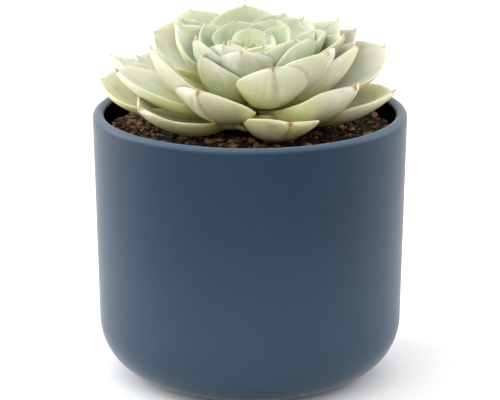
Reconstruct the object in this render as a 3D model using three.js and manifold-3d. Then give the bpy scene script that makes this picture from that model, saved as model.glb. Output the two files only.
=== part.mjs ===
// Potted succulent: a rosette of thick waxy leaves on a short stem, planted in a round ceramic pot.
// Millimetres, +Z up. The origin is the centre of the pot's flat foot.

import * as THREE from 'three';
import { mergeVertices } from 'three/addons/utils/BufferGeometryUtils.js';
import Module from 'manifold-3d';

const wasm = await Module();
wasm.setup();

// ---- Pot ----
const POT_RIM_RADIUS = 60;
const POT_HEIGHT = 104;
const POT_WALL = 4.3;
const POT_SIDE_TAPER = 2;
const POT_CORNER_RADIUS = 23.4;
const POT_FLOOR = 6;
const ROUND_SEGMENTS = 48;

// ---- Soil ----
const SOIL_EDGE_HEIGHT = 96.6;
const SOIL_CENTRE_HEIGHT = 97.2;
const CLEARANCE = 0.3;

// ---- Stem: it stands a little off the pot's axis ----
const STEM_X = 1;
const STEM_RADIUS = 4.6;
const STEM_TOP_RADIUS = 1.6;
const STEM_ROOT_HEIGHT = 80;
const STEM_SHOULDER_HEIGHT = 108;
const STEM_TOP_HEIGHT = 119.5;
const STEM_SEGMENTS = 12;

// ---- Leaves ----
const LEAF_RINGS = 8;
const LEAF_SIDES = 8;
const LEAF_STATIONS = [0, 0.03, 0.22, 0.42, 0.6, 0.76, 0.88, 0.96, 1];
const LEAF_BEND = 0.6;
const LEAF_BASE_WIDTH = 0.24;
const LEAF_WIDEST_AT = 0.64;
const LEAF_TAPER = 0.78;
const LEAF_THICKNESS = 4;
const LEAF_THICKNESS_WIDTH = 30;

// Leaf layers from the lowest to the heart. Each leaf states the azimuth, the reach from the stem and the
// height of its tip, and whatever differs from its layer:
// width is the leaf's full width, and cup the half angle of its hollow cross-section.
// root and offset are the height and the distance from the stem's axis where the leaf starts.
// lift is the angle at which it leaves the stem, and bend how far along it that direction is held.
// side is how far its root is turned from its tip, and roll how far the tip end turns about the midrib.
// taper shapes the end: a lower value is blunter.
const LAYERS = [
  { name: 'basal', offset: 5, width: 13, lift: 4, root: 101, cup: 30, side: 0, roll: 0, leaves: [
    { az: -122, reach: 22, tip: 103.5 },
    { az: -99, reach: 21, tip: 102.5 },
    { az: -68, reach: 20, tip: 107, root: 102.5 },
  ] },
  { name: 'outer', offset: 5, width: 31, lift: -3, root: 102.3, cup: 50, side: 0, roll: 0, leaves: [
    { az: -72, reach: 45.8, tip: 110.9, width: 29, root: 101.6, cup: 38, roll: 12, bend: 0.72, taper: 0.52 },
    { az: -10, reach: 55, tip: 114.6, cup: 38, roll: -8 },
    { az: 28, reach: 53, tip: 116 },
    { az: 66, reach: 52, tip: 116 },
    { az: 104, reach: 53, tip: 117 },
    { az: 140, reach: 54, tip: 117 },
    { az: 180, reach: 58.7, tip: 117.1, width: 34, root: 103, cup: 54, roll: 34 },
    { az: -150, reach: 49.8, tip: 111.8, width: 35, lift: -6, root: 101.8, cup: 43, roll: 17, taper: 0.44 },
  ] },
  { name: 'lower', offset: 5, width: 31, lift: 4, root: 104.6, cup: 50, side: 0, roll: 0, leaves: [
    { az: -36, reach: 48, tip: 121.2, width: 32, lift: -4, root: 104, taper: 0.66 },
    { az: 8, reach: 51.6, tip: 128.3, width: 33, lift: 8, root: 105, cup: 44, roll: -36 },
    { az: 48, reach: 50, tip: 125 },
    { az: 86, reach: 50, tip: 126 },
    { az: 122, reach: 50, tip: 126 },
    { az: 158, reach: 59.4, tip: 120.8, cup: 30, roll: -14 },
    { az: -165, reach: 53.6, tip: 123.8, cup: 34, roll: 14 },
    { az: -120, reach: 41.3, tip: 121.3, width: 33, lift: -1, root: 105.4, cup: 25, roll: 9, taper: 0.54 },
  ] },
  { name: 'middle', offset: 5, width: 32, lift: 14, root: 107.2, cup: 48, side: 0, roll: 0, leaves: [
    { az: -77.5, reach: 32.4, tip: 129.4, width: 28.4, lift: 14, root: 107.9, cup: 32, side: -8, roll: 11,
      bend: 0.75, taper: 0.5 },
    { az: -12, reach: 40.4, tip: 133, lift: 12 },
    { az: 22, reach: 43, tip: 132.5, lift: 18, cup: 38 },
    { az: 68, reach: 44, tip: 132 },
    { az: 106, reach: 46, tip: 132 },
    { az: 150, reach: 45.2, tip: 130.2, width: 31, cup: 46, side: 20, roll: 26, lift: 20 },
    { az: 150, reach: 52.3, tip: 119.3, width: 30, lift: 8, root: 106, cup: 40, roll: 14 },
    { az: -152, reach: 43.2, tip: 134.4, width: 25, lift: 8, root: 106.6, cup: 40, roll: 20 },
  ] },
  { name: 'upper', offset: 5, width: 30, lift: 24, root: 109.6, cup: 46, side: 0, roll: 0, leaves: [
    { az: -42, reach: 38, tip: 134, lift: 20, root: 109.5, taper: 0.66 },
    { az: -142, reach: 23.4, tip: 130.1, width: 27, lift: 22, root: 109, roll: 14 },
    { az: 124, reach: 44, tip: 136.2, width: 31 },
    { az: 95, reach: 35, tip: 138.3, width: 32, lift: 28 },
    { az: 67, reach: 32, tip: 136.4, lift: 28 },
    { az: 32, reach: 39, tip: 135.2 },
    { az: 165, reach: 29.4, tip: 136.6, width: 28, lift: 32, root: 110, cup: 42, roll: 16 },
    { az: 50, reach: 31, tip: 135.7, width: 28, lift: 34, root: 111 },
  ] },
  { name: 'inner', offset: 4.5, width: 25, lift: 28, root: 111.8, cup: 48, side: 0, roll: 0, leaves: [
    { az: -102, reach: 21.0, tip: 132.9, width: 25, lift: 34, root: 111.5 },
    { az: -5, reach: 34.7, tip: 134.6, width: 26, lift: 22, root: 111 },
    { az: -160, reach: 22.7, tip: 134.9 },
    { az: 140, reach: 23.8, tip: 135.1, lift: 36, root: 112.5 },
    { az: -28, reach: 25, tip: 136.3 },
    { az: 14, reach: 29, tip: 134.3, lift: 34 },
  ] },
  { name: 'crown', offset: 3.8, width: 21, lift: 36, root: 114.8, cup: 48, side: 0, roll: 0, leaves: [
    { az: -125, reach: 18.7, tip: 134.4, width: 24, lift: 30 },
    { az: 112, reach: 18, tip: 136.1, width: 25, lift: 46 },
    { az: -36, reach: 19.5, tip: 135.4, width: 23, lift: 32 },
    { az: -78, reach: 17.5, tip: 132 },
    { az: 58, reach: 17.3, tip: 137.2, width: 23, lift: 48 },
    { az: 28, reach: 14.5, tip: 136.6, width: 21, lift: 52 },
  ] },
  { name: 'heart', offset: 2.6, width: 12, lift: 62, root: 119, cup: 50, side: 0, roll: 0, leaves: [
    { az: -70, reach: 12, tip: 132.4, width: 14, lift: 52, root: 118 },
    { az: -46, reach: 15, tip: 133, width: 14, lift: 46, root: 117.5 },
    { az: 97, reach: 10, tip: 134.6, width: 15 },
    { az: 45, reach: 10, tip: 132.6, width: 13 },
    { az: -150, reach: 10, tip: 132, width: 13, lift: 56 },
    { az: 170, reach: 9, tip: 131.5, width: 11, root: 120 },
    { az: -15, reach: 6, tip: 130.5, width: 9, lift: 70, root: 121 },
    { az: -120, reach: 5, tip: 130, width: 8, lift: 72, root: 121.5 },
    { az: 85, reach: 4, tip: 129.5, width: 8, lift: 76, root: 121.5 },
    { az: -60, reach: 1.5, tip: 128.5, width: 5, lift: 84, root: 122 },
  ] },
];

const potMaterial = new THREE.MeshStandardMaterial({ color: 0x3c546c, roughness: 0.42, metalness: 0 });
const soilMaterial = new THREE.MeshStandardMaterial({ color: 0x2a1d14, roughness: 1, metalness: 0 });
const stemMaterial = new THREE.MeshStandardMaterial({ color: 0x8f9a62, roughness: 0.8, metalness: 0 });
const LEAF_COLOURS = {
  basal: 0xa9b468,
  outer: 0xc0cc95,
  lower: 0xc6d2a2,
  middle: 0xcdd7b0,
  upper: 0xd0dab8,
  inner: 0xcedaaf,
  crown: 0xc8d79f,
  heart: 0xc9d98c,
};

const plant = new THREE.Group();

function addMesh(name, geometry, material) {
  const mesh = new THREE.Mesh(geometry, material);
  mesh.name = name;
  plant.add(mesh);
}

// Points of an arc in the (radius, height) plane, from one angle to another in degrees.
function arcPoints(centreRadius, centreHeight, radius, from, to, steps) {
  const points = [];
  for (let i = 0; i <= steps; i += 1) {
    const angle = THREE.MathUtils.degToRad(from + ((to - from) * i) / steps);
    const r = centreRadius + radius * Math.cos(angle);
    const z = centreHeight + radius * Math.sin(angle);
    points.push(new THREE.Vector2(r, z));
  }
  return points;
}

// A solid of revolution about +Z from a profile that starts and ends on the axis.
function latheAboutZ(points, segments) {
  const geometry = new THREE.LatheGeometry(points, segments);
  geometry.rotateX(Math.PI / 2);
  return geometry;
}

function positionsOnly(geometry) {
  geometry.deleteAttribute('normal');
  geometry.deleteAttribute('uv');
  return mergeVertices(geometry);
}

function toSolid(geometry) {
  const merged = positionsOnly(geometry);
  return new wasm.Manifold(new wasm.Mesh({
    numProp: 3,
    vertProperties: new Float32Array(merged.getAttribute('position').array),
    triVerts: new Uint32Array(merged.getIndex().array),
  }));
}

function toGeometry(solid) {
  const mesh = solid.getMesh();
  const geometry = new THREE.BufferGeometry();
  geometry.setAttribute('position', new THREE.BufferAttribute(mesh.vertProperties, 3));
  geometry.setIndex(new THREE.BufferAttribute(mesh.triVerts, 1));
  geometry.computeVertexNormals();
  return geometry;
}

// ---- Pot and soil ----
const innerRimRadius = POT_RIM_RADIUS - POT_WALL;
const lipRadius = POT_WALL / 2;
const footCornerRadius = POT_RIM_RADIUS - POT_SIDE_TAPER;
const innerCornerRadius = POT_CORNER_RADIUS - POT_WALL;

function innerWallRadius(height) {
  const rise = (height - POT_CORNER_RADIUS) / (POT_HEIGHT - lipRadius - POT_CORNER_RADIUS);
  return innerRimRadius - POT_SIDE_TAPER * (1 - rise);
}

const potProfile = [
  new THREE.Vector2(0, 0),
  ...arcPoints(footCornerRadius - POT_CORNER_RADIUS, POT_CORNER_RADIUS, POT_CORNER_RADIUS, -90, 0, 7),
  ...arcPoints(POT_RIM_RADIUS - lipRadius, POT_HEIGHT - lipRadius, lipRadius, 0, 180, 6),
  ...arcPoints(innerWallRadius(POT_CORNER_RADIUS) - innerCornerRadius, POT_FLOOR + innerCornerRadius,
    innerCornerRadius, 0, -90, 4),
  new THREE.Vector2(0, POT_FLOOR),
];
addMesh('pot', latheAboutZ(potProfile, ROUND_SEGMENTS), potMaterial);

const soilBottom = POT_FLOOR + CLEARANCE;
const soilCornerRadius = innerCornerRadius;
const soilCornerCentre = innerWallRadius(POT_CORNER_RADIUS) - CLEARANCE - soilCornerRadius;
const stemHoleRadius = STEM_RADIUS + CLEARANCE;
const soilProfile = [
  new THREE.Vector2(0, soilBottom),
  ...arcPoints(soilCornerCentre, soilBottom + soilCornerRadius, soilCornerRadius, -90, 0, 4),
  new THREE.Vector2(innerWallRadius(SOIL_EDGE_HEIGHT) - CLEARANCE, SOIL_EDGE_HEIGHT),
  new THREE.Vector2(innerRimRadius * 0.55, SOIL_EDGE_HEIGHT + 0.4),
  new THREE.Vector2(0, SOIL_CENTRE_HEIGHT),
];
const stemHole = new THREE.CylinderGeometry(stemHoleRadius, stemHoleRadius, 40, STEM_SEGMENTS);
stemHole.rotateX(Math.PI / 2);
stemHole.translate(STEM_X, 0, STEM_ROOT_HEIGHT - CLEARANCE + 20);
const soilSolid = toSolid(latheAboutZ(soilProfile, ROUND_SEGMENTS)).subtract(toSolid(stemHole));
addMesh('soil', toGeometry(soilSolid), soilMaterial);

// ---- Stem ----
function stemGeometry(grow) {
  const profile = [
    new THREE.Vector2(0, STEM_ROOT_HEIGHT - grow),
    new THREE.Vector2(STEM_RADIUS * 0.6 + grow, STEM_ROOT_HEIGHT - grow),
    new THREE.Vector2(STEM_RADIUS + grow, STEM_ROOT_HEIGHT + 3),
    new THREE.Vector2(STEM_RADIUS + grow, STEM_SHOULDER_HEIGHT),
    new THREE.Vector2(STEM_TOP_RADIUS + grow, STEM_TOP_HEIGHT + grow),
    new THREE.Vector2(0, STEM_TOP_HEIGHT + 1 + grow),
  ];
  const geometry = latheAboutZ(profile, STEM_SEGMENTS);
  geometry.translate(STEM_X, 0, 0);
  return geometry;
}
addMesh('stem', stemGeometry(0), stemMaterial);

// ---- Leaves ----
function direction(degrees) {
  const angle = THREE.MathUtils.degToRad(degrees);
  return new THREE.Vector3(Math.cos(angle), Math.sin(angle), 0);
}

// Half the leaf's width at s, where s runs from 0 at the root to 1 at the tip.
function halfWidth(s, width, taper) {
  if (s < LEAF_WIDEST_AT) {
    const swell = Math.sin((s / LEAF_WIDEST_AT) * Math.PI / 2) ** 1.3;
    return (width / 2) * (LEAF_BASE_WIDTH + (1 - LEAF_BASE_WIDTH) * swell);
  }
  const end = (s - LEAF_WIDEST_AT) / (1 - LEAF_WIDEST_AT);
  return (width / 2) * Math.max(0, 1 - end ** 2.1) ** taper;
}

// The thickness along the leaf, as a share of the full thickness.
function thicknessAlong(s) {
  return Math.min(1, 0.45 + 1.6 * s) * (1 - 0.85 * Math.max(0, (s - 0.45) / 0.55) ** 1.5);
}

// A leaf starts as a sphere whose poles become the root and the tip. Each ring of the sphere becomes a
// cross-section: the upper half lies on a hollow arc and the lower half bulges below it. grow thickens
// the leaf on every side, for the clearance that its neighbours keep.
function leafGeometry(leaf, grow) {
  const rootDirection = direction(leaf.az - leaf.side);
  const root = new THREE.Vector3(STEM_X, 0, leaf.root).addScaledVector(rootDirection, leaf.offset);
  const tip = new THREE.Vector3(STEM_X, 0, leaf.tip).addScaledVector(direction(leaf.az), leaf.reach);
  const lift = THREE.MathUtils.degToRad(leaf.lift);
  const leaving = rootDirection.clone().multiplyScalar(Math.cos(lift)).setZ(Math.sin(lift));
  const bend = root.clone().addScaledVector(leaving, root.distanceTo(tip) * leaf.bend);
  const midrib = new THREE.QuadraticBezierCurve3(root, bend, tip);
  const across = direction(leaf.az - leaf.side / 2 - 90);
  const thickness = LEAF_THICKNESS * (leaf.width / LEAF_THICKNESS_WIDTH) ** 0.6;

  const geometry = positionsOnly(new THREE.SphereGeometry(1, LEAF_SIDES, LEAF_RINGS));
  const position = geometry.getAttribute('position');
  const vertex = new THREE.Vector3();
  const halfSide = Math.PI / LEAF_SIDES;
  for (let i = 0; i < position.count; i += 1) {
    vertex.fromBufferAttribute(position, i);
    const ring = Math.round((Math.acos(THREE.MathUtils.clamp(vertex.y, -1, 1)) / Math.PI) * LEAF_RINGS);
    const s = LEAF_STATIONS[ring];
    const turn = Math.atan2(vertex.z, -vertex.x) + halfSide;
    const along = midrib.getTangent(s);
    const sideways = across.clone().addScaledVector(along, -across.dot(along)).normalize();
    sideways.applyAxisAngle(along, THREE.MathUtils.degToRad(-leaf.roll) * s ** 1.6);
    const upward = new THREE.Vector3().crossVectors(sideways, along);
    const point = midrib.getPoint(s);
    if (ring <= 1) {
      point.addScaledVector(along, -grow);
    }
    if (ring === LEAF_RINGS) {
      point.addScaledVector(along, grow * 2);
    }
    if (ring > 0 && ring < LEAF_RINGS) {
      const half = halfWidth(s, leaf.width, leaf.taper);
      const hollowRadius = half / (THREE.MathUtils.degToRad(leaf.cup) * (1 - 0.3 * s));
      const arc = ((half + grow) / hollowRadius) * (Math.cos(turn) / Math.cos(halfSide));
      const full = Math.min(thickness * thicknessAlong(s), 0.4 + 1.2 * half);
      const isUnder = Math.sin(turn) < 0;
      const offset = isUnder ? -full * Math.abs(Math.sin(turn)) ** 1.6 - grow : grow;
      point.addScaledVector(sideways, (hollowRadius - offset) * Math.sin(arc));
      point.addScaledVector(upward, hollowRadius - (hollowRadius - offset) * Math.cos(arc));
    }
    position.setXYZ(i, point.x, point.y, point.z);
  }
  return geometry;
}

function largestPiece(solid) {
  return solid.decompose().reduce((best, piece) => (piece.volume() > best.volume() ? piece : best));
}

const leaves = LAYERS.flatMap((layer) => layer.leaves.map((leaf, index) => ({
  bend: LEAF_BEND,
  taper: LEAF_TAPER,
  ...layer,
  ...leaf,
  layer: layer.name,
  name: `${layer.name}_leaf_${index + 1}`,
})));

// Each leaf is trimmed by the stem and by every leaf above it, from the heart outwards.
const placed = [toSolid(stemGeometry(CLEARANCE))];
const finished = [];
for (const leaf of leaves.slice().reverse()) {
  let solid = toSolid(leafGeometry(leaf, 0));
  for (const neighbour of placed) {
    solid = solid.subtract(neighbour);
  }
  placed.push(toSolid(leafGeometry(leaf, CLEARANCE)));
  finished.push({ leaf, solid: largestPiece(solid) });
}
for (const { leaf, solid } of finished.reverse()) {
  const material = new THREE.MeshStandardMaterial({
    color: LEAF_COLOURS[leaf.layer],
    roughness: 0.6,
    metalness: 0,
  });
  addMesh(leaf.name, toGeometry(solid), material);
}

export default plant;
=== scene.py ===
import math

import bmesh
import bpy
import numpy as np
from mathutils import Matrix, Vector, noise


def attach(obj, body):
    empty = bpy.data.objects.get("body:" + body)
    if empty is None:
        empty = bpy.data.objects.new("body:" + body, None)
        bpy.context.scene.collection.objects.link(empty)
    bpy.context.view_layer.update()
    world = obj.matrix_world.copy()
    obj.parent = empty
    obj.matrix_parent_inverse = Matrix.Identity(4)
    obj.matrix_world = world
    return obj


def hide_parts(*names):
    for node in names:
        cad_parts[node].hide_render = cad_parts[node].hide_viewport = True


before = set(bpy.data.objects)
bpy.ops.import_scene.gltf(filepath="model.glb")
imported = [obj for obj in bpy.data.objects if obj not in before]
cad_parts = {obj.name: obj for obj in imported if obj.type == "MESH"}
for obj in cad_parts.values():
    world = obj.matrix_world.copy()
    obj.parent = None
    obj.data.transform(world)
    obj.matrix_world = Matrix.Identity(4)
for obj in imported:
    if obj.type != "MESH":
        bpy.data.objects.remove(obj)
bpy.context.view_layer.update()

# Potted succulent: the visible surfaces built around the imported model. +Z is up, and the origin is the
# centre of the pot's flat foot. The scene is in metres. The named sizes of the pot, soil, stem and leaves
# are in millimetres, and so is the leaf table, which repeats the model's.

MM = 0.001

# ---- Pot, in millimetres ----
POT_RIM_RADIUS = 60.0
POT_HEIGHT = 104.0
POT_WALL = 4.3
POT_SIDE_TAPER = 2.0
POT_CORNER_RADIUS = 23.4
POT_FLOOR = 6.0
LIP_RADIUS = POT_WALL / 2
POT_SEGMENTS = 192

# ---- Soil, in millimetres ----
SOIL_HEIGHT = 96.6
SOIL_GAP = 0.4
SOIL_RINGS = 70
SOIL_DROOP = 2.4
SOIL_DROOP_WIDTH = 5
SOIL_SEGMENTS = 200
HUMUS_COUNT = 2600
BARK_COUNT = 400
GRIT_COUNT = 620

# ---- Stem, in millimetres ----
STEM_X = 1.0
STEM_PROFILE = [(0, 80), (2.8, 80), (4.4, 83), (4.6, 100), (4.4, 108), (2.6, 114), (1.5, 119.2), (0, 120)]

# ---- Leaves ----
LEAF_ROWS = 44
LEAF_SIDES = 44
LEAF_BEND = 0.6
LEAF_BASE_WIDTH = 0.24
LEAF_WIDEST_AT = 0.64
LEAF_TAPER = 0.78
LEAF_THICKNESS = 4.0
LEAF_THICKNESS_WIDTH = 30.0
LEAF_EDGE_RADIUS = 0.25
MUCRO_LENGTH = 1.6
MUCRO_HALF_WIDTH = 0.5
POINT_COLOUR_WIDTH = 1.1

# Leaf layers from the lowest to the heart. az is the direction of the leaf's tip seen from above, counted
# from +X, and reach and tip are the tip's distance from the stem's axis and its height. width is the leaf's
# full width, lift the angle at which it leaves the stem, root and offset the height and the distance from
# the stem's axis where it does, cup the half angle of its hollow cross-section, side how far its root is
# turned from its tip, roll how far the tip end is turned about the midrib, bend how far along it keeps the
# direction in which it leaves, and taper the shape of its end: a lower value is blunter.
LAYERS = [
    dict(name="basal", offset=5, width=13, lift=4, root=101, cup=30, leaves=[
        dict(az=-122, reach=22, tip=103.5),
        dict(az=-99, reach=21, tip=102.5),
        dict(az=-68, reach=20, tip=107, root=102.5),
    ]),
    dict(name="outer", offset=5, width=31, lift=-3, root=102.3, cup=50, leaves=[
        dict(az=-72, reach=45.8, tip=110.9, width=29, root=101.6, cup=38, roll=12, bend=0.72, taper=0.52),
        dict(az=-10, reach=55, tip=114.6, cup=38, roll=-8),
        dict(az=28, reach=53, tip=116),
        dict(az=66, reach=52, tip=116),
        dict(az=104, reach=53, tip=117),
        dict(az=140, reach=54, tip=117),
        dict(az=180, reach=58.7, tip=117.1, width=34, root=103, cup=54, roll=34),
        dict(az=-150, reach=49.8, tip=111.8, width=35, lift=-6, root=101.8, cup=43, roll=17, taper=0.44),
    ]),
    dict(name="lower", offset=5, width=31, lift=4, root=104.6, cup=50, leaves=[
        dict(az=-36, reach=48, tip=121.2, width=32, lift=-4, root=104, taper=0.66),
        dict(az=8, reach=51.6, tip=128.3, width=33, lift=8, root=105, cup=44, roll=-36),
        dict(az=48, reach=50, tip=125),
        dict(az=86, reach=50, tip=126),
        dict(az=122, reach=50, tip=126),
        dict(az=158, reach=59.4, tip=120.8, cup=30, roll=-14),
        dict(az=-165, reach=53.6, tip=123.8, cup=34, roll=14),
        dict(az=-120, reach=41.3, tip=121.3, width=33, lift=-1, root=105.4, cup=25, roll=9, taper=0.54),
    ]),
    dict(name="middle", offset=5, width=32, lift=14, root=107.2, cup=48, leaves=[
        dict(az=-77.5, reach=32.4, tip=129.4, width=28.4, lift=14, root=107.9, cup=32, side=-8, roll=11,
             bend=0.75, taper=0.5),
        dict(az=-12, reach=40.4, tip=133, lift=12),
        dict(az=22, reach=43, tip=132.5, lift=18, cup=38),
        dict(az=68, reach=44, tip=132),
        dict(az=106, reach=46, tip=132),
        dict(az=150, reach=45.2, tip=130.2, width=31, cup=46, side=20, roll=26, lift=20),
        dict(az=150, reach=52.3, tip=119.3, width=30, lift=8, root=106, cup=40, roll=14),
        dict(az=-152, reach=43.2, tip=134.4, width=25, lift=8, root=106.6, cup=40, roll=20),
    ]),
    dict(name="upper", offset=5, width=30, lift=24, root=109.6, cup=46, leaves=[
        dict(az=-42, reach=38, tip=134, lift=20, root=109.5, taper=0.66),
        dict(az=-142, reach=23.4, tip=130.1, width=27, lift=22, root=109, roll=14),
        dict(az=124, reach=44, tip=136.2, width=31),
        dict(az=95, reach=35, tip=138.3, width=32, lift=28),
        dict(az=67, reach=32, tip=136.4, lift=28),
        dict(az=32, reach=39, tip=135.2),
        dict(az=165, reach=29.4, tip=136.6, width=28, lift=32, root=110, cup=42, roll=16),
        dict(az=50, reach=31, tip=135.7, width=28, lift=34, root=111),
    ]),
    dict(name="inner", offset=4.5, width=25, lift=28, root=111.8, cup=48, leaves=[
        dict(az=-102, reach=21.0, tip=132.9, width=25, lift=34, root=111.5),
        dict(az=-5, reach=34.7, tip=134.6, width=26, lift=22, root=111),
        dict(az=-160, reach=22.7, tip=134.9),
        dict(az=140, reach=23.8, tip=135.1, lift=36, root=112.5),
        dict(az=-28, reach=25, tip=136.3),
        dict(az=14, reach=29, tip=134.3, lift=34),
    ]),
    dict(name="crown", offset=3.8, width=21, lift=36, root=114.8, cup=48, leaves=[
        dict(az=-125, reach=18.7, tip=134.4, width=24, lift=30),
        dict(az=112, reach=18, tip=136.1, width=25, lift=46),
        dict(az=-36, reach=19.5, tip=135.4, width=23, lift=32),
        dict(az=-78, reach=17.5, tip=132),
        dict(az=58, reach=17.3, tip=137.2, width=23, lift=48),
        dict(az=28, reach=14.5, tip=136.6, width=21, lift=52),
    ]),
    dict(name="heart", offset=2.6, width=12, lift=62, root=119, cup=50, leaves=[
        dict(az=-70, reach=12, tip=132.4, width=14, lift=52, root=118),
        dict(az=-46, reach=15, tip=133, width=14, lift=46, root=117.5),
        dict(az=97, reach=10, tip=134.6, width=15),
        dict(az=45, reach=10, tip=132.6, width=13),
        dict(az=-150, reach=10, tip=132, width=13, lift=56),
        dict(az=170, reach=9, tip=131.5, width=11, root=120),
        dict(az=-15, reach=6, tip=130.5, width=9, lift=70, root=121),
        dict(az=-120, reach=5, tip=130, width=8, lift=72, root=121.5),
        dict(az=85, reach=4, tip=129.5, width=8, lift=76, root=121.5),
        dict(az=-60, reach=1.5, tip=128.5, width=5, lift=84, root=122),
    ]),
]

# The leaves with a russet point and a strong keel line.
MARKED_LEAVES = (
    "outer_leaf_1", "lower_leaf_1", "lower_leaf_7", "lower_leaf_8", "middle_leaf_1", "middle_leaf_2",
)

SLOT_OF_LAYER = {
    "basal": "leaf_outer",
    "outer": "leaf_outer",
    "lower": "leaf_outer",
    "middle": "leaf_middle",
    "upper": "leaf_middle",
    "inner": "leaf_inner",
    "crown": "leaf_inner",
    "heart": "leaf_heart",
}


# ---- Meshes from rings of points ----

def ring_mesh(name, rings, start, end, attributes=None):
    """A closed mesh from rings of points, each joined to the next, with start and end as its end points."""
    count, sides = rings.shape[:2]
    points = [*rings.reshape(-1, 3), start, end]
    start_point = count * sides
    end_point = start_point + 1
    last_ring = start_point - sides
    faces = []
    for ring in range(0, last_ring, sides):
        for k in range(sides):
            m = (k + 1) % sides
            faces.append((ring + k, ring + sides + k, ring + sides + m, ring + m))
    faces += [(start_point, k, (k + 1) % sides) for k in range(sides)]
    faces += [(end_point, last_ring + (k + 1) % sides, last_ring + k) for k in range(sides)]
    return add_mesh(name, np.array(points), faces, attributes)


def add_mesh(name, points, faces, attributes=None):
    mesh = bpy.data.meshes.new(name)
    mesh.from_pydata([tuple(p) for p in points], [], faces)
    for key, values in (attributes or {}).items():
        layer = mesh.attributes.new(key, "FLOAT", "POINT")
        layer.data.foreach_set("value", np.asarray(values, np.float32))
    mesh.polygons.foreach_set("use_smooth", [True] * len(mesh.polygons))
    mesh.update()
    piece = bpy.data.objects.new(name, mesh)
    bpy.context.scene.collection.objects.link(piece)
    return piece


def place(piece, slot, material, *nodes):
    piece.data.materials.append(material)
    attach(piece, "root")
    if nodes:
        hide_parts(*nodes)


# ---- Shader nodes ----

class Shader:
    """A material's node tree, with one call for each kind of node that the materials use."""

    def __init__(self, name):
        self.material = bpy.data.materials.new(name)
        self.material.use_nodes = True
        self.tree = self.material.node_tree
        self.surface = self.tree.nodes["Principled BSDF"]

    def add(self, kind, inputs=(), **settings):
        node = self.tree.nodes.new(kind)
        for key, value in settings.items():
            setattr(node, key, value)
        for key, value in dict(inputs).items():
            self.plug(node.inputs[key], value)
        return node

    def plug(self, socket, value):
        if isinstance(value, bpy.types.NodeSocket):
            self.tree.links.new(value, socket)
        elif isinstance(value, tuple) and len(value) == 3 and socket.type == "RGBA":
            socket.default_value = (*value, 1.0)
        else:
            socket.default_value = value

    def attribute(self, name):
        return self.add("ShaderNodeAttribute", attribute_name=name).outputs["Fac"]

    def position(self):
        return self.add("ShaderNodeTexCoord").outputs["Object"]

    def math(self, operation, a, b=0.0, c=0.0):
        node = self.add("ShaderNodeMath", operation=operation)
        for socket, value in zip(node.inputs, (a, b, c)):
            self.plug(socket, value)
        return node.outputs[0]

    def ramp(self, value, low, high, to_low=0.0, to_high=1.0):
        """A smooth step of value from low to high."""
        inputs = {0: value, 1: low, 2: high, 3: to_low, 4: to_high}
        node = self.add("ShaderNodeMapRange", inputs, interpolation_type="SMOOTHSTEP")
        return node.outputs[0]

    def mix(self, amount, a, b):
        node = self.add("ShaderNodeMix", data_type="RGBA")
        self.plug(node.inputs[0], amount)
        self.plug(node.inputs[6], a)
        self.plug(node.inputs[7], b)
        return node.outputs[2]

    def noise(self, scale, detail=3.0, roughness=0.5, vector=None):
        inputs = {"Scale": scale, "Detail": detail, "Roughness": roughness}
        inputs["Vector"] = vector if vector is not None else self.position()
        return self.add("ShaderNodeTexNoise", inputs).outputs[0]

    def cells(self, scale):
        node = self.add("ShaderNodeTexVoronoi", {"Scale": scale, "Vector": self.position()})
        return node.outputs["Distance"]

    def bump(self, height, strength, distance):
        node = self.add("ShaderNodeBump", {"Height": height, "Strength": strength, "Distance": distance})
        self.plug(self.surface.inputs["Normal"], node.outputs[0])

    def set(self, **values):
        for key, value in values.items():
            self.plug(self.surface.inputs[key.replace("_", " ")], value)


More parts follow.
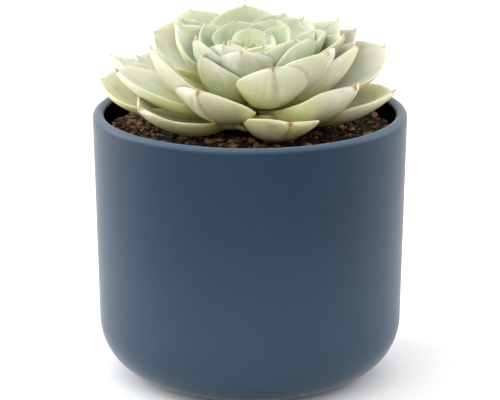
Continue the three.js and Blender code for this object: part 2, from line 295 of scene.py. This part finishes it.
def leaf_material(name, face, face_green, back, lime, lime_end, point_colour):
    """A waxy leaf: pale bloom over green, yellow-green at the root, a thin bright margin, a blush near the
    tip, a brown keel line under the tip, and a darker point."""
    shader = Shader(name)
    along = shader.attribute("along")
    side = shader.attribute("across")
    across = shader.math("ABSOLUTE", side)
    under = shader.attribute("under")
    tone = shader.attribute("tone")
    mark = shader.attribute("mark")
    patches = shader.noise(48, 3, 0.55)
    mottle = shader.noise(230, 4, 0.6)
    grain = shader.add("ShaderNodeCombineXYZ", {
        0: shader.math("MULTIPLY", side, 3.0),
        1: shader.math("MULTIPLY", along, 1.4),
        2: shader.math("MULTIPLY", tone, 40.0),
    }).outputs[0]
    streaks = shader.noise(3.0, 4, 0.6, vector=grain)

    middle = shader.math("MULTIPLY", shader.ramp(across, 0.95, 0.35), shader.ramp(along, 1.0, 0.7))
    greening = shader.math("MULTIPLY", middle, shader.ramp(streaks, 0.38, 0.6, 0.4, 1.0))
    top = shader.mix(greening, face, face_green)
    below = shader.mix(shader.ramp(streaks, 0.36, 0.66, 0.0, 0.55), back, face_green)
    colour = shader.mix(under, top, below)

    lime_start = shader.math("MULTIPLY_ADD", under, lime_end - 0.68, 0.68)
    root_amount = shader.ramp(along, lime_start, 0.12)
    root_amount = shader.math("MULTIPLY", root_amount, shader.ramp(patches, 0.75, 0.35, 0.5, 1.0))
    blotches = shader.ramp(patches, 0.45, 0.62, 0.0, 0.6)
    smear = shader.math("MULTIPLY", shader.ramp(streaks, 0.55, 0.72), blotches)
    root_amount = shader.math("MAXIMUM", root_amount, smear)
    colour = shader.mix(root_amount, colour, lime)
    colour = shader.mix(shader.ramp(mottle, 0.4, 0.75, 0.0, 0.35), colour, (0.74, 0.76, 0.66))
    clouds = shader.noise(70, 3)
    bloom = shader.math("MULTIPLY", shader.ramp(clouds, 0.46, 0.66), shader.ramp(along, 0.3, 0.7))
    colour = shader.mix(shader.math("MULTIPLY", bloom, 0.45), colour, (0.74, 0.755, 0.70))

    blush = shader.math("MULTIPLY", shader.ramp(along, 0.6, 0.97), shader.ramp(mottle, 0.3, 0.6))
    colour = shader.mix(shader.math("MULTIPLY", blush, 0.4), colour, (0.52, 0.44, 0.36))
    stains = shader.noise(65, 2)
    smudge = shader.math("MULTIPLY", shader.ramp(stains, 0.55, 0.7), shader.ramp(streaks, 0.46, 0.6))
    colour = shader.mix(shader.math("MULTIPLY", smudge, 0.5), colour, (0.36, 0.31, 0.27))

    keel_width = shader.ramp(along, 0.4, 0.95, 0.16, 0.1)
    wander = shader.math("MULTIPLY_ADD", streaks, 0.1, across)
    keel = shader.ramp(shader.math("DIVIDE", wander, keel_width), 1.7, 0.5)
    keel = shader.math("MULTIPLY", keel, shader.ramp(along, 0.3, 0.85))
    broken = shader.ramp(mottle, 0.2, 0.6, 0.4, 1.0)
    keel = shader.math("MULTIPLY", keel, shader.math("MULTIPLY", under, broken))
    keel = shader.math("MULTIPLY", keel, shader.math("MULTIPLY_ADD", mark, 0.45, 0.1))
    colour = shader.mix(keel, colour, (0.27, 0.19, 0.09))

    margin = shader.math("MULTIPLY", shader.ramp(across, 0.965, 0.992), shader.ramp(along, 0.15, 0.5))
    edge = shader.mix(shader.ramp(along, 0.72, 0.98), (0.66, 0.65, 0.37), (0.50, 0.37, 0.23))
    colour = shader.mix(shader.math("MULTIPLY", margin, 0.45), colour, edge)

    specks = shader.ramp(shader.cells(190), 0.11, 0.05)
    specks = shader.math("MULTIPLY", specks, shader.ramp(shader.noise(38, 2), 0.56, 0.66))
    colour = shader.mix(shader.math("MULTIPLY", specks, 0.45), colour, (0.16, 0.12, 0.09))

    point = shader.ramp(shader.attribute("point"), 0.0, 0.6)
    dull = shader.mix(mark, (0.26, 0.20, 0.15), point_colour)
    point = shader.math("MULTIPLY", point, shader.math("MULTIPLY_ADD", mark, 0.35, 0.6))
    colour = shader.mix(point, colour, dull)

    rough = shader.ramp(patches, 0.3, 0.7, 0.5, 0.66)
    height = shader.math("MULTIPLY_ADD", mottle, 0.6, shader.noise(900, 3))
    height = shader.math("MULTIPLY_ADD", streaks, 1.2, height)
    shader.set(Base_Color=colour, Roughness=rough, Specular_IOR_Level=0.3, Subsurface_Weight=0.45,
               Subsurface_Radius=(0.005, 0.005, 0.0035), Subsurface_Scale=0.9)
    shader.bump(height, 0.14, 0.0004)
    return shader.material


def pot_material():
    shader = Shader("pot_glaze")
    inner_wall_painted_shade = shader.attribute("inner_wall_painted_shade")
    cloud = shader.noise(22, 3, 0.5)
    grain = shader.noise(700, 3, 0.6)
    colour = shader.mix(shader.ramp(cloud, 0.3, 0.7), (0.0065, 0.0225, 0.047), (0.009, 0.0285, 0.056))
    colour = shader.mix(shader.ramp(grain, 0.35, 0.7, 0.0, 0.22), colour, (0.024, 0.05, 0.085))
    height = shader.add("ShaderNodeSeparateXYZ", {0: shader.position()}).outputs[2]
    # Painted light: the glaze is made lighter towards the foot to stand in for light bounced up from the
    # white floor.
    painted_floor_bounce = shader.ramp(height, 0.10, 0.02, 0.0, 0.75)
    colour = shader.mix(painted_floor_bounce, colour, (0.034, 0.062, 0.10))
    # Lighter rim: partly thinner glaze at the edge, mostly a painted highlight where the top light falls on
    # the lip.
    lip_glaze_and_highlight = shader.ramp(height, 0.1018, 0.1036)
    colour = shader.mix(shader.math("MULTIPLY", lip_glaze_and_highlight, 0.5), colour, (0.11, 0.17, 0.24))
    # Painted shade: the inner wall below the lip is painted near black, and below it loses its specular and
    # sheen, to stand in for the shadow inside the pot.
    colour = shader.mix(inner_wall_painted_shade, colour, (0.0012, 0.0018, 0.0022))
    rough = shader.ramp(cloud, 0.25, 0.75, 0.44, 0.52)
    outside = shader.math("SUBTRACT", 1.0, inner_wall_painted_shade)
    shader.set(Base_Color=colour, Roughness=rough, Specular_IOR_Level=shader.math("MULTIPLY", outside, 0.2),
               Sheen_Weight=shader.math("MULTIPLY", outside, 0.29), Sheen_Roughness=0.3)
    shader.bump(shader.math("MULTIPLY_ADD", grain, 1.0, shader.noise(2600, 2)), 0.10, 0.0003)
    return shader.material


def painted_plant_shade(shader):
    """Painted shade on the soil: darker in a band across x under the plant, where the leaves shade it, and
    not darkened at the left and right of the pot.
    """
    x = shader.add("ShaderNodeSeparateXYZ", {0: shader.position()}).outputs[0]
    from_plant = shader.math("ABSOLUTE", shader.math("SUBTRACT", x, 0.008))
    return shader.ramp(from_plant, 0.042, 0.02, 0.0, 0.6)


def soil_material():
    shader = Shader("soil_mix")
    clumps = shader.noise(420, 5, 0.65)
    patches = shader.noise(90, 3)
    colour = shader.mix(shader.ramp(clumps, 0.35, 0.68), (0.004, 0.003, 0.002), (0.035, 0.020, 0.011))
    colour = shader.mix(shader.ramp(patches, 0.55, 0.75, 0.0, 0.5), colour, (0.11, 0.06, 0.03))
    # Painted shade under the plant.
    colour = shader.mix(painted_plant_shade(shader), colour, (0.006, 0.004, 0.003))
    shader.set(Base_Color=colour, Roughness=0.95, Specular_IOR_Level=0.25)
    shader.bump(clumps, 0.8, 0.0012)
    return shader.material


def crumb_material(name, dark, light, scale, rough=0.85, plant_shade_share=1.0):
    shader = Shader(name)
    tone = shader.attribute("tone")
    fibres = shader.noise(scale, 4, 0.6)
    colour = shader.mix(shader.ramp(fibres, 0.3, 0.7), dark, light)
    colour = shader.mix(shader.math("MULTIPLY", tone, 0.6), colour, dark)
    # Painted shade under the plant, scaled by how much of it this kind of crumb takes.
    colour = shader.mix(shader.math("MULTIPLY", painted_plant_shade(shader), plant_shade_share), colour, tuple(c * 0.5 for c in dark))
    shader.set(Base_Color=colour, Roughness=rough, Specular_IOR_Level=0.3)
    shader.bump(fibres, 0.6, 0.0006)
    return shader.material


def stem_material():
    shader = Shader("stem_skin")
    bands = shader.noise(300, 4, 0.6)
    colour = shader.mix(shader.ramp(bands, 0.35, 0.7), (0.20, 0.22, 0.07), (0.42, 0.40, 0.20))
    shader.set(Base_Color=colour, Roughness=0.75)
    shader.bump(bands, 0.4, 0.0006)
    return shader.material


# ---- Pot ----

def arc(centre_radius, centre_height, radius, start, stop, steps):
    angles = np.radians(np.linspace(start, stop, steps))
    return np.stack([centre_radius + radius * np.cos(angles), centre_height + radius * np.sin(angles)], 1)


def inner_wall_radius(height):
    rise = (height - POT_CORNER_RADIUS) / (POT_HEIGHT - LIP_RADIUS - POT_CORNER_RADIUS)
    return POT_RIM_RADIUS - POT_WALL - POT_SIDE_TAPER * (1 - rise)


def turned(profile, segments):
    """Rings of points about +Z, one for each (radius, height) of the profile, in metres."""
    angles = np.linspace(0, 2 * math.pi, segments, endpoint=False)
    radius = profile[:, 0, None]
    height = np.repeat(profile[:, 1, None], segments, 1)
    return np.stack([radius * np.cos(angles), radius * np.sin(angles), height], 2) * MM


def make_pot():
    corner_centre = POT_RIM_RADIUS - POT_SIDE_TAPER - POT_CORNER_RADIUS
    inner_corner = POT_CORNER_RADIUS - POT_WALL
    inner_centre = inner_wall_radius(POT_CORNER_RADIUS) - inner_corner
    side = np.linspace((POT_RIM_RADIUS - POT_SIDE_TAPER, POT_CORNER_RADIUS),
                       (POT_RIM_RADIUS, POT_HEIGHT - LIP_RADIUS), 16)[1:-1]
    foot = np.linspace((corner_centre * 0.15, 0), (corner_centre, 0), 8)[:-1]
    inner_side = np.linspace((inner_wall_radius(POT_HEIGHT - LIP_RADIUS), POT_HEIGHT - LIP_RADIUS),
                             (inner_wall_radius(POT_CORNER_RADIUS), POT_CORNER_RADIUS), 60)[1:-1]
    profile = np.concatenate([
        foot,
        arc(corner_centre, POT_CORNER_RADIUS, POT_CORNER_RADIUS, -90, 0, 24),
        side,
        arc(POT_RIM_RADIUS - LIP_RADIUS, POT_HEIGHT - LIP_RADIUS, LIP_RADIUS, 0, 180, 18),
        inner_side,
        arc(inner_centre, POT_FLOOR + inner_corner, inner_corner, 0, -90, 12),
    ])
    rings = turned(profile, POT_SEGMENTS)
    order = np.arange(len(profile))
    past_lip = order > np.argmax(profile[:, 1])
    # How far down the inner wall below the lip a point is, for the painted shade that darkens the inner wall
    # in the glaze.
    depth = np.where(past_lip, (POT_HEIGHT - 0.9 - profile[:, 1]) / 0.9, 0.0)
    inner_wall_painted_shade = np.repeat(np.clip(depth, 0, 1), POT_SEGMENTS)
    attributes = {"inner_wall_painted_shade": np.append(inner_wall_painted_shade, (0, 1))}
    pot = ring_mesh("pot_body", rings, start=(0, 0, 0), end=(0, 0, POT_FLOOR * MM), attributes=attributes)
    place(pot, "pot", pot_material(), "pot")


# ---- Soil ----

def soil_height(x, y):
    """The height of the soil's uneven surface at a point, in metres."""
    distance = math.hypot(x, y)
    point = Vector((x, y, 0.0))
    heave = 0.9 * noise.noise(point * 38) + 0.55 * noise.noise(point * 110 + Vector((3, 1, 7)))
    clods = 0.45 * noise.noise(point * 330 + Vector((9, 2, 5))) + 0.22 * noise.noise(point * 800)
    tilt = x / 0.055 * 0.4 + y / 0.055 * 0.4
    edge = min(1.0, max(0.0, (distance / MM - 9) / 14))
    wall = inner_wall_radius(SOIL_HEIGHT) - SOIL_GAP
    droop = min(1.0, max(0.0, (distance / MM - wall + SOIL_DROOP_WIDTH) / SOIL_DROOP_WIDTH)) ** 2
    return (SOIL_HEIGHT + (heave + tilt) * edge + clods - SOIL_DROOP * droop) * MM


def make_soil():
    wall = inner_wall_radius(SOIL_HEIGHT) - SOIL_GAP
    inner_corner = POT_CORNER_RADIUS - POT_WALL
    corner_centre = inner_wall_radius(POT_CORNER_RADIUS) - SOIL_GAP - inner_corner
    body = np.concatenate([
        arc(corner_centre, POT_FLOOR + SOIL_GAP + inner_corner, inner_corner, -90, 0, 8),
        np.linspace((inner_wall_radius(40) - SOIL_GAP, 40), (wall, SOIL_HEIGHT - 3), 6),
    ])
    surface = np.stack([np.linspace(wall, 0.8, SOIL_RINGS), np.full(SOIL_RINGS, SOIL_HEIGHT)], 1)
    rings = turned(np.concatenate([body, surface]), SOIL_SEGMENTS)
    for ring in rings[len(body):]:
        for point in ring:
            point[2] = soil_height(point[0], point[1])
    top = (0, 0, soil_height(0, 0))
    soil = ring_mesh("soil_surface", rings, start=(0, 0, (POT_FLOOR + SOIL_GAP) * MM), end=top)
    place(soil, "soil", soil_material(), "soil")


def icosphere():
    """The points and triangles of a ball with 42 points."""
    ball = bmesh.new()
    bmesh.ops.create_icosphere(ball, subdivisions=2, radius=1.0)
    points = np.array([v.co[:] for v in ball.verts])
    faces = [tuple(v.index for v in f.verts) for f in ball.faces]
    ball.free()
    return points, faces


def crumbs(name, material, count, sizes, stretch, seed, share_left=0.5):
    """Loose crumbs lying on the soil, each an irregular lump: sizes is the range of half lengths in mm,
    stretch how elongated they are, and share_left the share that lies left of the plant."""
    rng = np.random.default_rng(seed)
    ball, ball_faces = icosphere()
    reach = inner_wall_radius(SOIL_HEIGHT) - SOIL_GAP
    points = []
    faces = []
    tones = []
    for _ in range(count):
        size = sizes[0] + (sizes[1] - sizes[0]) * rng.random() ** 2.2
        distance = math.sqrt(rng.uniform(0.06, 1.0)) * (reach - size * stretch - 0.3)
        angle = rng.uniform(0, 2 * math.pi)
        x, y = distance * math.cos(angle), distance * math.sin(angle)
        if rng.random() < abs(share_left - 0.5) * 2 and (x > 0) == (share_left > 0.5):
            x = -x
        shape = np.array([stretch * rng.uniform(0.8, 1.2), rng.uniform(0.7, 1.1), rng.uniform(0.45, 0.8)])
        offset = rng.uniform(-50, 50, 3)
        lump = np.array([1 + 0.55 * noise.noise(Vector(p * 1.3 + offset)) for p in ball])
        facets = np.round(ball * 1.6) / 1.6
        body = (0.6 * ball + 0.4 * facets) * lump[:, None] * shape * size
        turn, tip = rng.uniform(0, 2 * math.pi), rng.uniform(-0.5, 0.5)
        c, s = math.cos(tip), math.sin(tip)
        body = body @ np.array([[c, 0, s], [0, 1, 0], [-s, 0, c]])
        c, s = math.cos(turn), math.sin(turn)
        body = body @ np.array([[c, s, 0], [-s, c, 0], [0, 0, 1]])
        ground = soil_height(x * MM, y * MM) / MM
        body += (x, y, ground + size * rng.uniform(-0.05, 0.4))
        start = len(points)
        points.extend(body * MM)
        faces += [tuple(start + i for i in face) for face in ball_faces]
        tones += [rng.random()] * len(ball)
    piece = add_mesh(name, np.array(points), faces, {"tone": tones})
    place(piece, "soil", material)


# ---- Stem ----

def make_stem():
    profile = np.array(STEM_PROFILE, float)[1:-1]
    steps = np.linspace(0, len(profile) - 1, 60)
    smooth = np.stack([np.interp(steps, range(len(profile)), profile[:, k]) for k in (0, 1)], 1)
    rings = turned(smooth, 40)
    for i, ring in enumerate(rings):
        swell = 1 + 0.05 * math.sin(i * 1.3)
        ring[:, :2] *= swell
    rings[:, :, 0] += STEM_X * MM
    ends = [(STEM_X * MM, 0, STEM_PROFILE[k][1] * MM) for k in (0, -1)]
    stem = ring_mesh("stem_body", rings, start=ends[0], end=ends[1])
    place(stem, "stem", stem_material(), "stem")


# ---- Leaves ----

def direction(degrees):
    angle = math.radians(degrees)
    return np.array([math.cos(angle), math.sin(angle), 0.0])


def unit(vectors):
    return vectors / np.linalg.norm(vectors, axis=-1, keepdims=True)


def smooth_step(x, low, high):
    t = np.clip((x - low) / (high - low), 0, 1)
    return t * t * (3 - 2 * t)


def leaf_frame(leaf, s):
    """The midrib's points and its sideways and upward directions at the stations s."""
    root_direction = direction(leaf["az"] - leaf["side"])
    foot = np.array([STEM_X, 0, 0])
    root = foot + root_direction * leaf["offset"] + (0, 0, leaf["root"])
    tip = foot + direction(leaf["az"]) * leaf["reach"] + (0, 0, leaf["tip"])
    lift = math.radians(leaf["lift"])
    leaving = root_direction * math.cos(lift) + (0, 0, math.sin(lift))
    bend = root + leaving * np.linalg.norm(tip - root) * leaf["bend"]
    t = s[:, None]
    midrib = (1 - t) ** 2 * root + 2 * t * (1 - t) * bend + t ** 2 * tip
    along = unit(2 * (1 - t) * (bend - root) + 2 * t * (tip - bend))
    across = direction(leaf["az"] - leaf["side"] / 2 - 90)
    sideways = unit(across - along * (along @ across)[:, None])
    upward = np.cross(sideways, along)
    roll = (math.radians(leaf["roll"]) * s ** 1.6)[:, None]
    rolled = sideways * np.cos(roll) + upward * np.sin(roll)
    upward = upward * np.cos(roll) - sideways * np.sin(roll)
    return midrib, rolled, upward, np.linalg.norm(tip - root)


def half_width(s, leaf, length):
    """Half the leaf's width: a broad blade that ends just short of the tip, and the small point past it."""
    body_end = 1 - MUCRO_LENGTH * leaf["scale"] / length
    b = np.clip(s / body_end, 0, 1)
    swell = np.sin(np.clip(b / LEAF_WIDEST_AT, 0, 1) * math.pi / 2) ** 1.3
    lower = LEAF_BASE_WIDTH + (1 - LEAF_BASE_WIDTH) * swell
    end = np.clip((b - LEAF_WIDEST_AT) / (1 - LEAF_WIDEST_AT), 0, 1)
    upper = np.clip(1 - end ** 2.1, 0, 1) ** leaf["taper"]
    blade = leaf["width"] / 2 * np.where(b < LEAF_WIDEST_AT, lower, upper)
    point_start = body_end - 0.9 * (1 - body_end)
    past = np.clip((s - point_start) / (1 - point_start), 0, 1)
    point = MUCRO_HALF_WIDTH * leaf["scale"] * smooth_step(past, 0, 0.25) * (1 - past) ** 0.8
    return (blade ** 3 + point ** 3) ** (1 / 3), past


def leaf_surface(leaf):
    """The leaf's rings of points in millimetres, with s and u for each ring and each place round it."""
    v = np.linspace(0, 1, LEAF_ROWS + 1)[:-1]
    s = 1 - (1 - v) ** 1.6
    midrib, sideways, upward, length = leaf_frame(leaf, s)
    half, past = half_width(s, leaf, length)
    ripple = leaf["ripple"]
    half = half * (1 + 0.018 * np.sin(s * 9 + ripple[0]) + 0.012 * np.sin(s * 21 + ripple[1]))
    cup = np.radians(leaf["cup"]) * (1 - 0.3 * s)
    hollow = np.maximum(half / cup, 4.0)[:, None]

    turn = np.linspace(0, 2 * math.pi, LEAF_SIDES, endpoint=False) + math.pi / LEAF_SIDES
    u = np.cos(turn)[None, :]
    bulge = np.abs(np.sin(turn))[None, :]
    under = (np.sin(turn) < 0)[None, :]
    thickness = LEAF_THICKNESS * (leaf["width"] / LEAF_THICKNESS_WIDTH) ** 0.6
    along = np.minimum(1, 0.45 + 1.6 * s) * (1 - 0.85 * np.clip((s - 0.45) / 0.55, 0, 1) ** 1.5)
    full = np.minimum(thickness * along, 0.3 + 1.1 * half)[:, None]
    edge = np.minimum(LEAF_EDGE_RADIUS, 0.5 * half)[:, None]
    rounding = np.sqrt(1 - (1 - np.clip(bulge / 0.22, 0, 1)) ** 2)
    keel_rise = (smooth_step(s, 0.35, 0.85) * (1 - smooth_step(s, 0.95, 1)))[:, None]
    keel = 0.55 * np.exp(-(u / 0.15) ** 2) * keel_rise
    channel = 0.35 * np.exp(-(u / 0.3) ** 2) * smooth_step(s, 0.3, 0.7)[:, None] * (1 - past)[:, None]
    lower = -edge * (1 + rounding) - (full - edge) * bulge ** 1.6 - keel
    upper = -edge * (1 - rounding) - channel
    wave = 0.35 * np.sin(s[:, None] * 7 + u * 1.8 + ripple[2])
    wave = wave + 0.25 * np.sin(s[:, None] * 15 + u * 4 + ripple[3])
    wave = wave * np.abs(u) ** 1.5 * smooth_step(s, 0.2, 0.6)[:, None] * leaf["scale"]
    offset = np.where(under, lower, upper)
    angle = u * half[:, None] / hollow
    side = (hollow - offset) * np.sin(angle)
    rise = hollow - (hollow - offset) * np.cos(angle) + wave
    rings = midrib[:, None] + sideways[:, None] * side[..., None] + upward[:, None] * rise[..., None]
    return rings, s, u, under, past, midrib, half


def make_leaf(leaf, material):
    rings, s, u, under, past, midrib, half = leaf_surface(leaf)
    count, sides = rings.shape[:2]
    grid = np.ones((count, sides))
    point = past[:, None] * np.exp(-(half[:, None] * u / POINT_COLOUR_WIDTH) ** 2)
    attributes = {
        "along": np.append((grid * s[:, None]).ravel(), (0, 1)),
        "across": np.append((grid * u).ravel(), (0, 0)),
        "under": np.append((grid * under).ravel(), (0, 0)),
        "point": np.append(point.ravel(), (0, 1)),
        "tone": np.full(count * sides + 2, leaf["tone"]),
        "mark": np.full(count * sides + 2, leaf["mark"]),
    }
    tip = leaf_frame(leaf, np.array([0.9995]))[0][0]
    piece = ring_mesh(leaf["name"] + "_blade", rings * MM, start=midrib[0] * MM, end=tip * MM,
                      attributes=attributes)
    place(piece, SLOT_OF_LAYER[leaf["layer"]], material, leaf["name"])


def all_leaves():
    rng = np.random.default_rng(7)
    leaves = []
    for layer in LAYERS:
        shared = {key: value for key, value in layer.items() if key not in ("name", "leaves")}
        for number, own in enumerate(layer["leaves"], 1):
            leaf = dict(dict(side=0, roll=0, bend=LEAF_BEND, taper=LEAF_TAPER), **shared)
            leaf.update(own)
            leaf["layer"] = layer["name"]
            leaf["name"] = "%s_leaf_%d" % (layer["name"], number)
            leaf["scale"] = min(1.0, (leaf["width"] / LEAF_THICKNESS_WIDTH) ** 0.5)
            leaf["tone"] = rng.random()
            leaf["mark"] = leaf["name"] in MARKED_LEAVES
            leaf["ripple"] = rng.uniform(0, 2 * math.pi, 4)
            leaves.append(leaf)
    return leaves


make_pot()
make_soil()
make_stem()

crumbs("soil_humus", crumb_material("humus", (0.007, 0.0045, 0.003), (0.19, 0.112, 0.064), 500),
       HUMUS_COUNT, (0.35, 1.5), 1.15, 11)
# Bark takes only a small share of the painted shade under the plant.
crumbs("soil_bark", crumb_material("bark", (0.05, 0.024, 0.011), (0.52, 0.26, 0.125), 420, plant_shade_share=0.15),
       BARK_COUNT, (0.6, 2.1), 1.3, 12)
crumbs("soil_grit", crumb_material("grit", (0.17, 0.115, 0.08), (0.60, 0.47, 0.36), 700, 0.6),
       GRIT_COUNT, (0.3, 0.85), 1.1, 13, share_left=0.8)

RUSSET = (0.27, 0.105, 0.045)
# For each layer: the face and its green, the back, the lime of the root, and how far up the back it reaches.
LEAF_LOOKS = {
    "basal": ((0.52, 0.55, 0.20), (0.42, 0.50, 0.14), (0.50, 0.52, 0.16), (0.46, 0.50, 0.09), 1.6),
    "outer": ((0.66, 0.66, 0.51), (0.54, 0.57, 0.34), (0.66, 0.64, 0.34), (0.60, 0.58, 0.12), 1.3),
    "lower": ((0.68, 0.685, 0.60), (0.56, 0.60, 0.45), (0.65, 0.64, 0.40), (0.60, 0.59, 0.16), 1.05),
    "middle": ((0.65, 0.66, 0.56), (0.50, 0.56, 0.42), (0.64, 0.645, 0.44), (0.59, 0.595, 0.19), 0.95),
    "upper": ((0.56, 0.61, 0.45), (0.40, 0.50, 0.31), (0.57, 0.58, 0.41), (0.52, 0.55, 0.18), 0.9),
    "inner": ((0.54, 0.61, 0.42), (0.34, 0.46, 0.26), (0.54, 0.55, 0.42), (0.50, 0.53, 0.17), 0.75),
    "heart": ((0.68, 0.73, 0.50), (0.53, 0.62, 0.32), (0.68, 0.70, 0.47), (0.58, 0.65, 0.25), 0.8),
}
LEAF_LOOKS["crown"] = LEAF_LOOKS["inner"]
leaf_materials = {}
for name, look in LEAF_LOOKS.items():
    leaf_materials[name] = leaf_material(name + "_leaf_skin", *look, RUSSET)
for each in all_leaves():
    make_leaf(each, leaf_materials[each["layer"]])


# ---- Floor, light and camera ----

# Each light's name, place, the point it faces, width and height, and power in watts.
LIGHTS = [
    ("key", (-0.45, -0.35, 1.2), (0, 0, 0.08), (0.8, 0.8), 3.6),
    ("front_left", (-0.55, -1.15, 0.42), (0, 0, 0.09), (0.7, 0.7), 2.9),
    ("left_edge", (-0.9, 0.25, 0.35), (0, 0, 0.06), (0.4, 0.9), 8),
    ("right_edge", (0.9, 0.25, 0.35), (0, 0, 0.06), (0.4, 0.9), 4.4),
]
FRONT_GLOW = 0.76
BACK_GLOW = 1.4
FLOOR_HALF_SIZE = 3
CAMERA_ELEVATION = math.radians(16.24)
CAMERA_DISTANCE = 1.4
CAMERA_CENTRE_HEIGHT = 0.055
CAMERA_TARGET = Vector((0, 0, 0.0682))
CAMERA_LENS = 261.7


def make_floor():
    reach = FLOOR_HALF_SIZE
    corners = [(-reach, -reach, 0), (reach, -reach, 0), (reach, reach, 0), (-reach, reach, 0)]
    floor = add_mesh("floor", np.array(corners, float), [(0, 1, 2, 3)])
    shader = Shader("floor_white")
    shader.set(Base_Color=(0.92, 0.92, 0.92), Roughness=0.9)
    floor.data.materials.append(shader.material)


def make_light(name, location, target, size, power):
    light = bpy.data.lights.new(name, "AREA")
    light.shape = "RECTANGLE"
    light.size, light.size_y = size
    light.energy = power
    holder = bpy.data.objects.new(name, light)
    holder.location = location
    holder.rotation_euler = (Vector(target) - Vector(location)).to_track_quat("-Z", "Y").to_euler()
    bpy.context.scene.collection.objects.link(holder)


def make_world():
    """A soft room: dimmer on the camera's side, brighter behind the object and overhead."""
    world = bpy.data.worlds.new("studio")
    world.use_nodes = True
    tree = world.node_tree
    coordinates = tree.nodes.new("ShaderNodeTexCoord")
    parts = tree.nodes.new("ShaderNodeSeparateXYZ")
    tree.links.new(coordinates.outputs["Generated"], parts.inputs[0])
    depth = tree.nodes.new("ShaderNodeMapRange")
    depth.interpolation_type = "SMOOTHSTEP"
    for socket, value in zip(depth.inputs[1:5], (-0.9, 0.9, FRONT_GLOW, BACK_GLOW)):
        socket.default_value = value
    tree.links.new(parts.outputs[1], depth.inputs[0])
    background = tree.nodes["Background"]
    background.inputs["Color"].default_value = (1.0, 1.0, 1.0, 1.0)
    tree.links.new(depth.outputs[0], background.inputs["Strength"])
    bpy.context.scene.world = world


def make_camera():
    camera = bpy.data.cameras.new("camera")
    camera.sensor_width = 36.0
    camera.lens = CAMERA_LENS
    camera.clip_start = 0.1
    camera.clip_end = 20.0
    holder = bpy.data.objects.new("camera", camera)
    back = CAMERA_DISTANCE * math.cos(CAMERA_ELEVATION)
    rise = CAMERA_DISTANCE * math.sin(CAMERA_ELEVATION)
    holder.location = (0, -back, CAMERA_CENTRE_HEIGHT + rise)
    holder.rotation_euler = (CAMERA_TARGET - holder.location).to_track_quat("-Z", "Y").to_euler()
    bpy.context.scene.collection.objects.link(holder)
    bpy.context.scene.camera = holder


make_floor()
make_world()
for light in LIGHTS:
    make_light(*light)
make_camera()
bpy.context.scene.view_settings.view_transform = "Standard"
